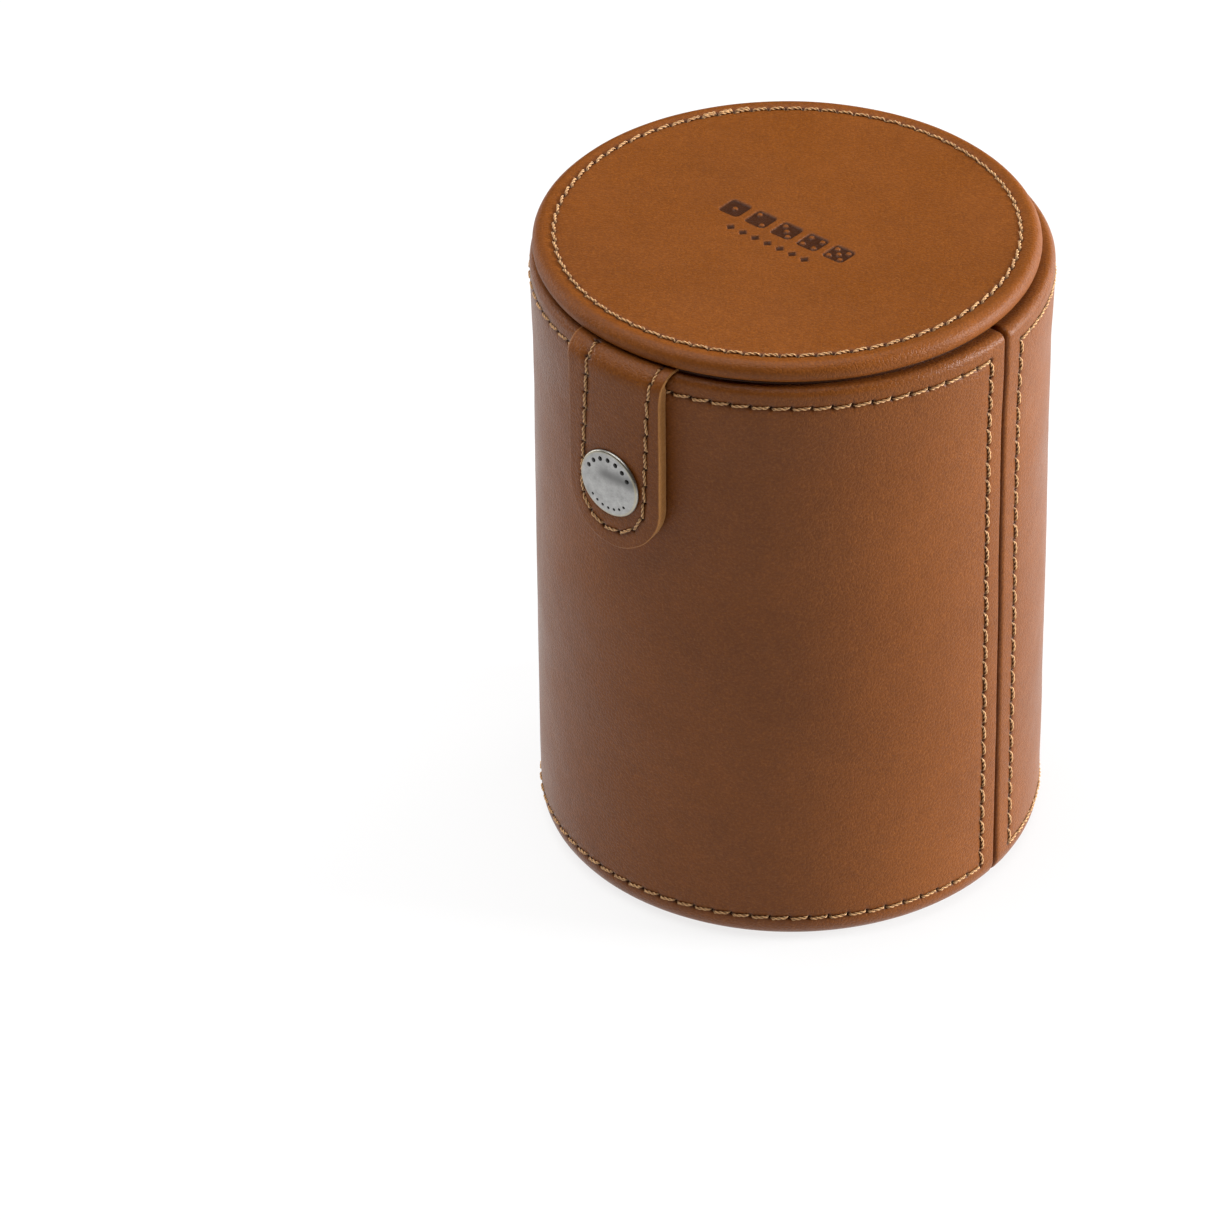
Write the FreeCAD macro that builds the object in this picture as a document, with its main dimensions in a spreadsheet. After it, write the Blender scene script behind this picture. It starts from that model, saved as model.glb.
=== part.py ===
import FreeCAD, Part
import os
import re
import Sketcher

# Leather dice cup with a hinged lid and a snap tab, in millimetres.
# The origin is the centre of the underside. +Z is up, the snap tab hangs on the -Y side
# and the lid's hinge is on the +Y side. The lid is closed and the tab is snapped.

SIZES = {
    # The cup's wall, from the outside in: leather, board tube, suede sleeve.
    "cup_radius": 44.5,
    "cup_height": 114.5,
    "panel_thickness": 1.6,
    "tube_thickness": 2.5,
    "lining_thickness": 1.0,
    "rim_round": 1.55,
    "turned_thickness": 1.4,
    "turned_depth": 6.5,
    # The two wall panels meet in open seams a little behind the middle.
    "front_span": 186.7,
    "seam_gap": 0.8,
    # Floor, from the base board up.
    "base_board_thickness": 3.0,
    "floor_pad_thickness": 2.0,
    "floor_lining_thickness": 1.0,
    # Sewing thread, half sunk in the leather.
    "thread_width": 0.7,
    "thread_depth": 0.3,
    "low_stitch_height": 5.1,
    "high_stitch_height": 110.9,
    "front_seam_inset": 4.1,
    "rear_seam_inset": 4.5,
    # The lid, its centre pulled towards the tab.
    "lid_shift": 1.4,
    "lid_radius": 43.2,
    "lid_height": 119.0,
    "roll_radius": 1.9,
    "skin_thickness": 1.1,
    "skin_turn_radius": 35.0,
    "under_radius": 41.8,
    "under_thickness": 0.7,
    "lid_lining_radius": 37.0,
    "lid_stitch_radius": 39.55,
    # The snap tab.
    "tab_width": 20.0,
    "tab_tip": 78.2,
    "tab_inner_radius": 44.9,
    "tab_layer": 1.35,
    "tab_bend_radius": 3.0,
    "tab_root_radius": 37.0,
    "tab_stitch_inset": 3.1,
    # The snap fastener. Its depths are distances from the cup's axis.
    "snap_height": 90.8,
    "cap_radius": 6.25,
    "cap_depth": 47.4,
    "cap_face": 48.35,
    "cap_edge": 0.5,
    "cap_hollow_depth": 47.8,
    "post_radius": 3.0,
    "post_bore": 2.5,
    "socket_radius": 5.0,
    "socket_depth": 44.85,
    "socket_top": 45.95,
    "socket_bore": 2.45,
    "spring_ring_radius": 2.35,
    "spring_wire_radius": 0.2,
    "stud_radius": 4.2,
    "stud_seat": 44.3,
    "stud_flange": 0.45,
    "stud_neck_radius": 1.5,
    "stud_head_radius": 2.0,
    "stud_tip": 46.5,
    "rivet_radius": 1.2,
    "rivet_head_radius": 4.5,
    "rivet_head_depth": 40.45,
    "rivet_head_thickness": 0.45,
    "rivet_clearance": 0.05,
    # The hinge strap, sewn to the rear wall.
    "strap_width": 22.0,
    "strap_bottom": 82.5,
    "strap_corner": 11.0,
    "strap_thickness": 1.0,
    "strap_clearance": 0.05,
    "strap_root_radius": 34.5,
    "strap_stitch_inset": 3.2,
}

doc = FreeCAD.newDocument("dice_cup")
sheet = doc.addObject("Spreadsheet::Sheet", "Sizes")
for row, (word, number) in enumerate(SIZES.items(), start=1):
    sheet.set("A%d" % row, word)
    sheet.set("B%d" % row, str(number))
    sheet.setAlias("B%d" % row, word)
doc.recompute()

# Places that several pieces share, written in the sheet's words.
WALL_INSIDE = "cup_radius - panel_thickness"
TUBE_INSIDE = "(" + WALL_INSIDE + " - tube_thickness)"
MOUTH = "(" + TUBE_INSIDE + " - lining_thickness)"
TUBE_TOP = "cup_height - turned_thickness"
BOARD_TOP = "(turned_thickness + base_board_thickness)"
BASE_ROUND = "(panel_thickness + tube_thickness)"
PAD_TOP = "(" + BOARD_TOP + " + floor_pad_thickness)"
ROLL_CENTRE = "lid_radius - roll_radius"
LID_MIDDLE = "lid_height - roll_radius"
UNDER_TOP = "cup_height + under_thickness"
TAB_OUTSIDE = "(tab_inner_radius + 2 * tab_layer)"
TAB_BEND_HEIGHT = "cup_height - tab_bend_radius"
RIM_CENTRE = "cup_radius - rim_round - strap_clearance"
STRAP_INSIDE = "(cup_radius + strap_clearance)"
STRAP_BEND_HEIGHT = "cup_height - rim_round - strap_clearance"
REACH = "cup_radius + 10"

UP = FreeCAD.Vector(0, 0, 1)
ORIGIN = FreeCAD.Vector(0, 0, 0)


def bound(words):
    """The full expression for words of the sheet, each of which has an underscore."""
    return re.sub(r"\b([a-z]+(?:_[a-z]+)+)\b", r"Sizes.\1", words)


def value(words):
    """What an expression comes to now, as a number."""
    result = sheet.evalExpression(bound(words))
    return float(getattr(result, "Value", result))


def facing(name):
    """The turn that brings a piece made about +X to the front or the rear."""
    turns = {"front": -90, "rear": 90}
    return FreeCAD.Placement(ORIGIN, FreeCAD.Rotation(UP, turns[name]))


# ---- sketches --------------------------------------------------------------------------

def corner(x, y):
    """An outline's next point, reached by a straight line."""
    return {"x": x, "y": y}


def bend(x, y, radius, turn):
    """An outline's next point, reached by a short arc: turn is +1 anticlockwise, -1 clockwise."""
    return {"x": x, "y": y, "radius": radius, "turn": turn}


def rectangle(x0, y0, x1, y1):
    return [corner(x0, y0), corner(x1, y0), corner(x1, y1), corner(x0, y1)]


def arc_edge(start, end, radius, turn):
    """The arc from start to end, and which of its ends is the start (1 or 2)."""
    chord = end - start
    rise = max(radius ** 2 - (chord.Length / 2) ** 2, 0.0) ** 0.5
    side = FreeCAD.Vector(-chord.y, chord.x, 0).normalize()
    centre = (start + end) / 2 + side * rise * turn
    first, last = (start, end) if turn > 0 else (end, start)
    angles = [Part.Circle(centre, UP, radius).parameter(point) for point in (first, last)]
    return Part.ArcOfCircle(Part.Circle(centre, UP, radius), *angles), 1 if turn > 0 else 2


def place_point(sketch, edge, end, kind, words):
    """Bind one coordinate of an edge's end to the sheet."""
    if words == "0":
        axis = -2 if kind == "DistanceX" else -1
        sketch.addConstraint(Sketcher.Constraint("PointOnObject", edge, end, axis))
        return
    index = sketch.addConstraint(Sketcher.Constraint(kind, edge, end, value(words)))
    sketch.setExpression("Constraints[%d]" % index, bound(words))


def draw(body, name, plane, outline):
    """A closed sketch on one of the body's origin planes, every point and radius bound."""
    sketch = body.newObject("Sketcher::SketchObject", name)
    origin_planes = {feature.Role: feature for feature in body.Origin.OriginFeatures}
    sketch.AttachmentSupport = (origin_planes[plane], "")
    sketch.MapMode = "FlatFace"
    points = [FreeCAD.Vector(value(p["x"]), value(p["y"]), 0) for p in outline]
    edges = []
    for index, point in enumerate(outline):
        start, end = points[index - 1], points[index]
        if "radius" in point:
            shape, first = arc_edge(start, end, value(point["radius"]), point["turn"])
        else:
            shape, first = Part.LineSegment(start, end), 1
        edges.append((sketch.addGeometry(shape, False), first))
    for index, point in enumerate(outline):
        edge, first = edges[index]
        following, following_first = edges[(index + 1) % len(outline)]
        last = 3 - first
        sketch.addConstraint(Sketcher.Constraint("Coincident", edge, last, following, following_first))
        place_point(sketch, edge, last, "DistanceX", point["x"])
        place_point(sketch, edge, last, "DistanceY", point["y"])
        if "radius" in point:
            radius = sketch.addConstraint(Sketcher.Constraint("Radius", edge, value(point["radius"])))
            sketch.setExpression("Constraints[%d]" % radius, bound(point["radius"]))
    return sketch


# ---- kinds of piece --------------------------------------------------------------------

def new_body(name, placement=None):
    body = doc.addObject("PartDesign::Body", name)
    if placement:
        body.Placement = placement
    return body


def turn_profile(body, kind, name, outline, span=None):
    """Revolve, or groove, a profile of radius and height about the body's Z axis."""
    sketch = draw(body, name + "_profile", "XZ_Plane", outline)
    feature = body.newObject(kind, name)
    feature.Profile = sketch
    feature.ReferenceAxis = (sketch, ["V_Axis"])
    feature.Angle = 360
    if span:
        feature.Midplane = True
        feature.setExpression("Angle", bound(span))
    return feature


def turned(name, outline, placement=None, span=None):
    """A piece turned about the cup's axis, all the way or over a span of degrees about +X."""
    body = new_body(name, placement)
    turn_profile(body, "PartDesign::Revolution", name + "_turn", outline, span)
    return body


def disc(name, radius, bottom, top):
    """A flat disc about the cup's axis."""
    cylinder = doc.addObject("Part::Cylinder", name)
    cylinder.setExpression("Radius", bound(radius))
    cylinder.setExpression("Height", bound("(%s) - (%s)" % (top, bottom)))
    cylinder.setExpression("Placement.Base.z", bound(bottom))
    return cylinder


def boolean(kind, name, base, tool):
    result = doc.addObject("Part::" + kind, name)
    result.Base = base
    result.Tool = tool
    return result


def cut(name, base, *tools):
    """The base with each tool taken out of it in turn; only the last cut has the name."""
    for number, tool in enumerate(tools, start=1):
        last = number == len(tools)
        base = boolean("Cut", name if last else "%s_cut_%d" % (name, number), base, tool)
    return base


def common(name, base, tool):
    return boolean("Common", name, base, tool)


def tongue_outline(width, bottom, top, round_radius, inset):
    """A strap's outline seen from the front: straight sides and a rounded lower end."""
    side = "(%s / 2 - %s)" % (width, inset)
    low = "(%s + %s)" % (bottom, inset)
    radius = "(%s - %s)" % (round_radius, inset)
    outline = [
        corner("-" + side, top),
        corner("-" + side, low + " + " + radius),
        bend(radius + " - " + side, low, radius, 1),
    ]
    if value(radius) < value(side):
        outline.append(corner(side + " - " + radius, low))
    outline.append(bend(side, low + " + " + radius, radius, 1))
    outline.append(corner(side, top))
    return outline


def tongue(name, sizes, placement, stitch_inset=None):
    """A strap's outline pushed outward, or the narrow U of its stitch line."""
    width, bottom, top, round_radius = sizes
    body = new_body(name, placement)
    inset = "0"
    if stitch_inset:
        inset = "(%s - thread_width / 2)" % stitch_inset
    pad = body.newObject("PartDesign::Pad", name + "_pad")
    pad.Profile = draw(body, name + "_outline", "XZ_Plane",
                       tongue_outline(width, bottom, top, round_radius, inset))
    pad.setExpression("Length", bound(REACH))
    if stitch_inset:
        inset = "(%s + thread_width / 2)" % stitch_inset
        pocket = body.newObject("PartDesign::Pocket", name + "_pocket")
        pocket.Profile = draw(body, name + "_inner_outline", "XZ_Plane",
                              tongue_outline(width, bottom, top + " + 1", round_radius, inset))
        pocket.Type = "ThroughAll"
        pocket.Midplane = True
    return body


def snap_placement():
    """The snap's own Z axis lies along -Y, at the snap's height on the cup's axis."""
    outward = FreeCAD.Rotation(FreeCAD.Vector(1, 0, 0), 90)
    return FreeCAD.Placement(FreeCAD.Vector(0, 0, value("snap_height")), outward)


def snap_part(name, outline):
    body = turned(name, outline, snap_placement())
    body.setExpression("Placement.Base.z", bound("snap_height"))
    return body


def lid_part(name, outline):
    body = turned(name, outline)
    body.setExpression("Placement.Base.y", bound("-lid_shift"))
    return body


# ---- the cup's wall --------------------------------------------------------------------

def panel_outline():
    """The wall leather, turned over the rim into the mouth and under the base."""
    return [
        corner(MOUTH, "cup_height - turned_depth"),
        corner(TUBE_INSIDE, "cup_height - turned_depth"),
        corner(TUBE_INSIDE, TUBE_TOP),
        corner(WALL_INSIDE, TUBE_TOP),
        corner(WALL_INSIDE, BASE_ROUND),
        bend(TUBE_INSIDE, "panel_thickness", "tube_thickness", -1),
        corner(TUBE_INSIDE, "turned_thickness"),
        corner(MOUTH, "turned_thickness"),
        corner(MOUTH, "0"),
        corner(TUBE_INSIDE, "0"),
        bend("cup_radius", BASE_ROUND, BASE_ROUND, 1),
        corner("cup_radius", "cup_height - rim_round"),
        bend("cup_radius - rim_round", "cup_height", "rim_round", 1),
        corner(TUBE_INSIDE, "cup_height"),
        bend(MOUTH, "cup_height - lining_thickness", "lining_thickness", 1),
    ]


def degrees(length):
    """The angle that a length along the wall takes up."""
    return "(%s) / cup_radius * 180 / pi" % length


def panel_thread(name, span, inset, side):
    """The thread around a panel: a window frame wrapped on the wall."""
    half = "thread_width / 2"
    body = new_body(name, facing(side))
    outer_span = "%s - 2 * %s" % (span, degrees("%s - %s" % (inset, half)))
    inner_span = "%s - 2 * %s" % (span, degrees("%s + %s" % (inset, half)))
    inside, outside = "cup_radius - thread_depth", "cup_radius + thread_depth"
    turn_profile(body, "PartDesign::Revolution", name + "_frame",
                 rectangle(inside, "low_stitch_height - " + half,
                           outside, "high_stitch_height + " + half), outer_span)
    turn_profile(body, "PartDesign::Groove", name + "_window",
                 rectangle(inside + " - 1", "low_stitch_height + " + half,
                           outside + " + 1", "high_stitch_height - " + half), inner_span)
    return body


def wall_panel(name, span, side, *tools):
    blank = turned(name + "_blank", panel_outline(), facing(side),
                   span + " - " + degrees("seam_gap"))
    return cut(name, blank, *tools)


def tube(name, inside, outside, bottom, top):
    return turned(name, rectangle(inside, bottom, outside, top))


# ---- build -----------------------------------------------------------------------------

def snap_hole(name, radius, near, far):
    """A round space along the snap's axis, between two distances from the cup's axis."""
    return snap_part(name, rectangle("0", near, radius, far))


def build_cup():
    rear_span = "(360 - front_span)"
    front_thread = panel_thread("front_panel_thread", "front_span", "front_seam_inset", "front")
    rear_thread = panel_thread("rear_panel_thread", rear_span, "rear_seam_inset", "rear")
    stud_seat = snap_hole("stud_seat_space", "stud_radius + rivet_clearance", "stud_seat", REACH)
    post_space = snap_hole("rivet_space", "rivet_radius + rivet_clearance", "0", REACH)
    head_space = snap_hole("rivet_head_space", "rivet_head_radius + rivet_clearance",
                           "0", "rivet_head_depth + rivet_head_thickness")
    pieces = [
        front_thread,
        rear_thread,
        wall_panel("front_panel", "front_span", "front", front_thread, stud_seat, post_space),
        wall_panel("rear_panel", rear_span, "rear", rear_thread),
    ]
    tube_blank = turned("core_tube_blank", [
        corner(TUBE_INSIDE, "panel_thickness"),
        bend(WALL_INSIDE, BASE_ROUND, "tube_thickness", 1),
        corner(WALL_INSIDE, TUBE_TOP),
        corner(TUBE_INSIDE, TUBE_TOP),
    ])
    pieces.append(cut("core_tube", tube_blank, post_space, head_space))
    pieces.append(tube("wall_lining", MOUTH, TUBE_INSIDE, BOARD_TOP, "cup_height - turned_depth"))
    pieces.append(disc("base_cover", MOUTH, "0", "turned_thickness"))
    pieces.append(disc("base_board", TUBE_INSIDE, "turned_thickness", BOARD_TOP))
    pieces.append(disc("floor_pad", MOUTH, BOARD_TOP, PAD_TOP))
    pieces.append(disc("floor_lining", MOUTH, PAD_TOP, PAD_TOP + " + floor_lining_thickness"))
    return pieces


def build_stud():
    """The snap's stud on the wall, and the rivet that holds it."""
    flange = "stud_seat + stud_flange"
    bore = "rivet_radius + rivet_clearance"
    head_step = "(stud_tip - stud_seat - stud_flange) / 4"
    stud = snap_part("snap_stud", [
        corner(bore, "stud_seat"),
        corner("stud_radius", "stud_seat"),
        corner("stud_radius", flange),
        corner("stud_neck_radius", flange),
        corner("stud_head_radius", flange + " + 2 * " + head_step),
        corner("stud_head_radius", flange + " + 3 * " + head_step),
        corner("stud_neck_radius", "stud_tip"),
        corner(bore, "stud_tip"),
    ])
    head_top = "rivet_head_depth + rivet_head_thickness"
    rivet = snap_part("stud_rivet", [
        corner("0", "rivet_head_depth"),
        corner("rivet_head_radius", "rivet_head_depth"),
        corner("rivet_head_radius", head_top),
        corner("rivet_radius", head_top),
        corner("rivet_radius", "stud_tip"),
        corner("stud_neck_radius", "stud_tip"),
        corner("rivet_radius", "stud_tip + rivet_head_thickness / 2"),
        corner("0", "stud_tip + rivet_head_thickness / 2"),
    ])
    return [stud, rivet]


def build_hinge(rear_thread):
    """The strap on the rear wall, its stitches, and the stretch that bends over the rim."""
    sizes = ("strap_width", "strap_bottom", STRAP_BEND_HEIGHT, "strap_corner")
    to_rear = FreeCAD.Placement(ORIGIN, FreeCAD.Rotation(UP, 180))
    outline = tongue("strap_outline", sizes, to_rear)
    stitch_line = tongue("strap_stitch_line", sizes, to_rear, "strap_stitch_inset")
    outside = STRAP_INSIDE + " + strap_thickness"
    low, high = "strap_bottom - 1", STRAP_BEND_HEIGHT
    thread_shell = tube("strap_thread_shell", outside + " - thread_depth",
                        outside + " + thread_depth", low, high)
    thread = common("hinge_thread", stitch_line, thread_shell)
    strap_shell = tube("strap_shell", STRAP_INSIDE, outside, low, high)
    strap = cut("hinge_strap", common("strap_blank", outline, strap_shell), thread, rear_thread)
    under, over = "cup_height + strap_clearance", "cup_height + strap_clearance + strap_thickness"
    inner = "rim_round + 2 * strap_clearance"
    outer = inner + " + strap_thickness"
    arch = turned("strap_arch", [
        corner("strap_root_radius", under),
        corner(RIM_CENTRE, under),
        bend(STRAP_INSIDE, STRAP_BEND_HEIGHT, inner, -1),
        corner(outside, STRAP_BEND_HEIGHT),
        bend(RIM_CENTRE, over, outer, 1),
        corner("strap_root_radius", over),
    ], facing("rear"), "90")
    strip = doc.addObject("Part::Box", "strap_strip")
    strip.setExpression("Length", bound("strap_width"))
    strip.setExpression("Width", bound(REACH))
    strip.setExpression("Height", bound("lid_height"))
    strip.setExpression("Placement.Base.x", bound("-strap_width / 2"))
    return [strap, thread, common("hinge_bend", arch, strip)]


def build_tab():
    """The tab's two layers, its stitches, its bend over the rim, and the snap's cap and socket."""
    sizes = ("tab_width", "tab_tip", TAB_BEND_HEIGHT, "(tab_width / 2)")
    outline = tongue("tab_outline", sizes, None)
    stitch_line = tongue("tab_stitch_line", sizes, None, "tab_stitch_inset")
    low, high = "tab_tip - 1", TAB_BEND_HEIGHT
    between = "tab_inner_radius + tab_layer"
    thread_shell = tube("tab_thread_shell", TAB_OUTSIDE + " - thread_depth",
                        TAB_OUTSIDE + " + thread_depth", low, high)
    leather_shell = tube("tab_leather_shell", between, TAB_OUTSIDE, low, high)
    lining_shell = tube("tab_lining_shell", "tab_inner_radius", between, low, high)
    thread = common("tab_thread", stitch_line, thread_shell)
    cap_seat = snap_hole("cap_seat_space", "cap_radius", "cap_depth", REACH)
    post_space = snap_hole("post_space", "post_radius", "0", REACH)
    socket_space = snap_hole("socket_space", "socket_radius", "0", REACH)
    leather = cut("tab_leather", common("tab_leather_blank", outline, leather_shell),
                  thread, cap_seat, post_space)
    lining = cut("tab_lining", common("tab_lining_blank", outline, lining_shell), socket_space)
    arch = turned("tab_arch", [
        corner("tab_root_radius", "cup_height"),
        corner(between + " - tab_bend_radius", "cup_height"),
        bend(between, TAB_BEND_HEIGHT, "tab_bend_radius", -1),
        corner(TAB_OUTSIDE, TAB_BEND_HEIGHT),
        bend(between + " - tab_bend_radius", UNDER_TOP,
             "tab_bend_radius + (tab_layer + under_thickness) / 2", 1),
        corner("tab_root_radius", UNDER_TOP),
    ], facing("front"), "90")
    strip = doc.addObject("Part::Box", "tab_strip")
    strip.setExpression("Length", bound("tab_width"))
    strip.setExpression("Width", bound(REACH))
    strip.setExpression("Height", bound("lid_height"))
    strip.setExpression("Placement.Base.x", bound("-tab_width / 2"))
    strip.setExpression("Placement.Base.y", bound("-(" + REACH + ")"))
    return [leather, lining, thread, common("tab_bend", arch, strip)] + build_cap()


def build_cap():
    """The domed cap with its hollow post, the socket behind it, and the socket's ring spring."""
    dome_rise = "(cap_face - cap_depth - cap_edge)"
    cap = snap_part("snap_cap", [
        corner("0", "cap_hollow_depth"),
        corner("post_bore", "cap_hollow_depth"),
        corner("post_bore", "socket_top"),
        corner("post_radius", "socket_top"),
        corner("post_radius", "cap_depth"),
        corner("cap_radius", "cap_depth"),
        corner("cap_radius", "cap_depth + cap_edge"),
        bend("0", "cap_face",
             "(cap_radius * cap_radius + %s * %s) / (2 * %s)" % ((dome_rise,) * 3), 1),
    ])
    middle = "(socket_depth + socket_top) / 2"
    groove = "spring_wire_radius + rivet_clearance"
    socket = snap_part("snap_socket", [
        corner("socket_bore", "socket_depth"),
        corner("socket_radius", "socket_depth"),
        corner("socket_radius", "socket_top"),
        corner("socket_bore", "socket_top"),
        corner("socket_bore", middle + " + " + groove),
        corner("spring_ring_radius + " + groove, middle + " + " + groove),
        corner("spring_ring_radius + " + groove, middle + " - (" + groove + ")"),
        corner("socket_bore", middle + " - (" + groove + ")"),
    ])
    spring = doc.addObject("Part::Torus", "socket_spring")
    spring.setExpression("Radius1", bound("spring_ring_radius"))
    spring.setExpression("Radius2", bound("spring_wire_radius"))
    spring.Placement = snap_placement()
    spring.setExpression("Placement.Base.y", bound("-(" + middle + ")"))
    spring.setExpression("Placement.Base.z", bound("snap_height"))
    return [cap, socket, spring]


def build_lid(tab_bend, hinge_bend):
    """The lid's leather skin rolled around its board, the layers under it, and its stitches."""
    thread = lid_part("lid_thread", rectangle(
        "lid_stitch_radius - thread_width / 2", "lid_height - thread_depth",
        "lid_stitch_radius + thread_width / 2", "lid_height + thread_depth"))
    inner_roll = "(roll_radius - skin_thickness)"
    board_outline = [
        corner("skin_turn_radius", UNDER_TOP),
        corner("skin_turn_radius", UNDER_TOP + " + skin_thickness"),
        corner(ROLL_CENTRE, UNDER_TOP + " + skin_thickness"),
        bend(ROLL_CENTRE + " + " + inner_roll, LID_MIDDLE, inner_roll, 1),
        bend(ROLL_CENTRE, "lid_height - skin_thickness", inner_roll, 1),
        corner("0", "lid_height - skin_thickness"),
    ]
    board = lid_part("lid_board", [corner("0", UNDER_TOP)] + board_outline)
    skin = lid_part("lid_top_leather_blank", [
        corner(ROLL_CENTRE, UNDER_TOP),
        bend("lid_radius", LID_MIDDLE, "roll_radius", 1),
        bend(ROLL_CENTRE, "lid_height", "roll_radius", 1),
        corner("0", "lid_height"),
        corner("0", "lid_height - skin_thickness"),
        corner(ROLL_CENTRE, "lid_height - skin_thickness"),
        bend(ROLL_CENTRE + " + " + inner_roll, LID_MIDDLE, inner_roll, -1),
        bend(ROLL_CENTRE, UNDER_TOP + " + skin_thickness", inner_roll, -1),
        corner("skin_turn_radius", UNDER_TOP + " + skin_thickness"),
        corner("skin_turn_radius", UNDER_TOP),
    ])
    under = lid_part("lid_under_leather_blank",
                     rectangle("0", "cup_height", "under_radius", UNDER_TOP))
    lining = lid_part("lid_lining", rectangle(
        "0", "cup_height - lining_thickness", "lid_lining_radius", "cup_height"))
    return [
        thread,
        board,
        lining,
        cut("lid_top_leather", skin, thread, hinge_bend),
        cut("lid_under_leather", under, tab_bend, hinge_bend),
    ]


def main():
    pieces = build_cup() + build_stud()
    rear_thread = pieces[1]
    hinge = build_hinge(rear_thread)
    tab = build_tab()
    pieces += hinge + tab + build_lid(tab[3], hinge[2])
    for piece in pieces:
        piece.Label = piece.Name
    doc.recompute()
    for item in doc.Objects:
        if {"Invalid", "Error"} & set(item.State):
            raise RuntimeError("%s failed: %s" % (item.Name, item.State))
    for piece in pieces:
        if piece.Shape.isNull() or not piece.Shape.isValid():
            raise RuntimeError(piece.Label + " has no valid shape")
    os.makedirs("parts", exist_ok=True)
    for piece in pieces:
        piece.Shape.exportStep(os.path.join("parts", piece.Label + ".step"))
        print("%-20s %10.1f mm3, %d solid" % (piece.Label, piece.Shape.Volume, len(piece.Shape.Solids)))


main()
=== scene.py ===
from dataclasses import dataclass
from math import cos, exp, hypot, pi, radians, sin, sqrt

import bmesh
import bpy
import numpy as np
from mathutils import Matrix, Vector


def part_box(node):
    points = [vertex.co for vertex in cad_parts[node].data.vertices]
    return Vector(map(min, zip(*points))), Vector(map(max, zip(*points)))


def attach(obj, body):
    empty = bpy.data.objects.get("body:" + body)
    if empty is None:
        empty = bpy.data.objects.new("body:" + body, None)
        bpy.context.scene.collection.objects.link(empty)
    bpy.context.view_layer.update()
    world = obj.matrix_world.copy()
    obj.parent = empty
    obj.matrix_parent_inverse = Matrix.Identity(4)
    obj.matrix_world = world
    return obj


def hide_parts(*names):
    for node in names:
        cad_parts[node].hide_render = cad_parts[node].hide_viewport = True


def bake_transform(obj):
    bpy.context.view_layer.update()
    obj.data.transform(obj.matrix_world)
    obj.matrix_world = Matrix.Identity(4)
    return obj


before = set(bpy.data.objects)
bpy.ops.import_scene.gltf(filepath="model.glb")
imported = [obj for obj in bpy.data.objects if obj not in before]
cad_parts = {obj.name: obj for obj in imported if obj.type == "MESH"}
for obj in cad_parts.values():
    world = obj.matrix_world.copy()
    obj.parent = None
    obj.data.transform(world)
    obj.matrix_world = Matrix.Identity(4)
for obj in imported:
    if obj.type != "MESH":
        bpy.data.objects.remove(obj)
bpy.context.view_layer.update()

# ---- sizes, in metres, read from the frame ----

MM = 0.001


def box_of(node):
    low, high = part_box(node)
    return low, high, (low + high) / 2


_, panel_high, _ = box_of("front_panel")
tube_low, tube_high, _ = box_of("core_tube")
lining_low, lining_high, _ = box_of("wall_lining")
thread_low, thread_high, _ = box_of("front_panel_thread")
lid_low, lid_high, lid_middle = box_of("lid_top_leather")
under_low, under_high, _ = box_of("lid_under_leather")
tab_low, tab_high, _ = box_of("tab_leather")
tab_bend_low, tab_bend_high, _ = box_of("tab_bend")
cap_low, cap_high, cap_middle = box_of("snap_cap")
strap_low, strap_high, _ = box_of("hinge_strap")
strap_bend_low, strap_bend_high, _ = box_of("hinge_bend")
lid_thread_low, lid_thread_high, _ = box_of("lid_thread")

CUP_R = panel_high.x
CUP_TOP = panel_high.z
WALL_INSIDE = tube_high.x
TUBE_INSIDE = lining_high.x
MOUTH_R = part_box("floor_lining")[1].x
RETURN_Z = lining_high.z
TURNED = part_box("base_board")[0].z
BASE_ROUND = CUP_R - TUBE_INSIDE
LID_Y = lid_middle.y
LID_R = (lid_high.x - lid_low.x) / 2
LID_TOP = lid_high.z
LID_UNDERSIDE = lid_low.z
THREAD_W = 0.7 * MM
STITCH_LOW = thread_low.z + THREAD_W / 2
STITCH_HIGH = thread_high.z - THREAD_W / 2
LID_STITCH_R = (lid_thread_high.x - lid_thread_low.x - THREAD_W) / 2


# ---- small tools ----

def smooth(x):
    x = np.clip(x, 0.0, 1.0)
    return x * x * (3 - 2 * x)


def ripple(points, size, seed):
    """Soft, repeatable unevenness from -1 to 1 at each point, with waves about this long."""
    rng = np.random.default_rng(seed)
    total = np.zeros(points.shape[:-1])
    for _ in range(9):
        direction = rng.normal(size=3)
        direction *= rng.uniform(0.6, 1.7) / np.linalg.norm(direction)
        total += np.sin(points @ direction * (2 * pi / size) + rng.uniform(0, 2 * pi))
    return total / 9 * 1.8


def store(mesh, key, values):
    """Keep one number for each vertex, for the materials to read."""
    layer = mesh.attributes.new(key, "FLOAT", "POINT")
    layer.data.foreach_set("value", np.asarray(values, np.float32).ravel())


def mesh_piece(name, vertices, faces, attributes=None):
    """A mesh object with smooth shading and a float attribute per entry, one value a vertex."""
    mesh = bpy.data.meshes.new(name)
    mesh.from_pydata([tuple(v) for v in vertices], [], [tuple(f) for f in faces])
    mesh.polygons.foreach_set("use_smooth", [True] * len(mesh.polygons))
    for key, values in (attributes or {}).items():
        store(mesh, key, values)
    mesh.validate()
    mesh.update()
    piece = bpy.data.objects.new(name, mesh)
    bpy.context.scene.collection.objects.link(piece)
    return piece


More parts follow.
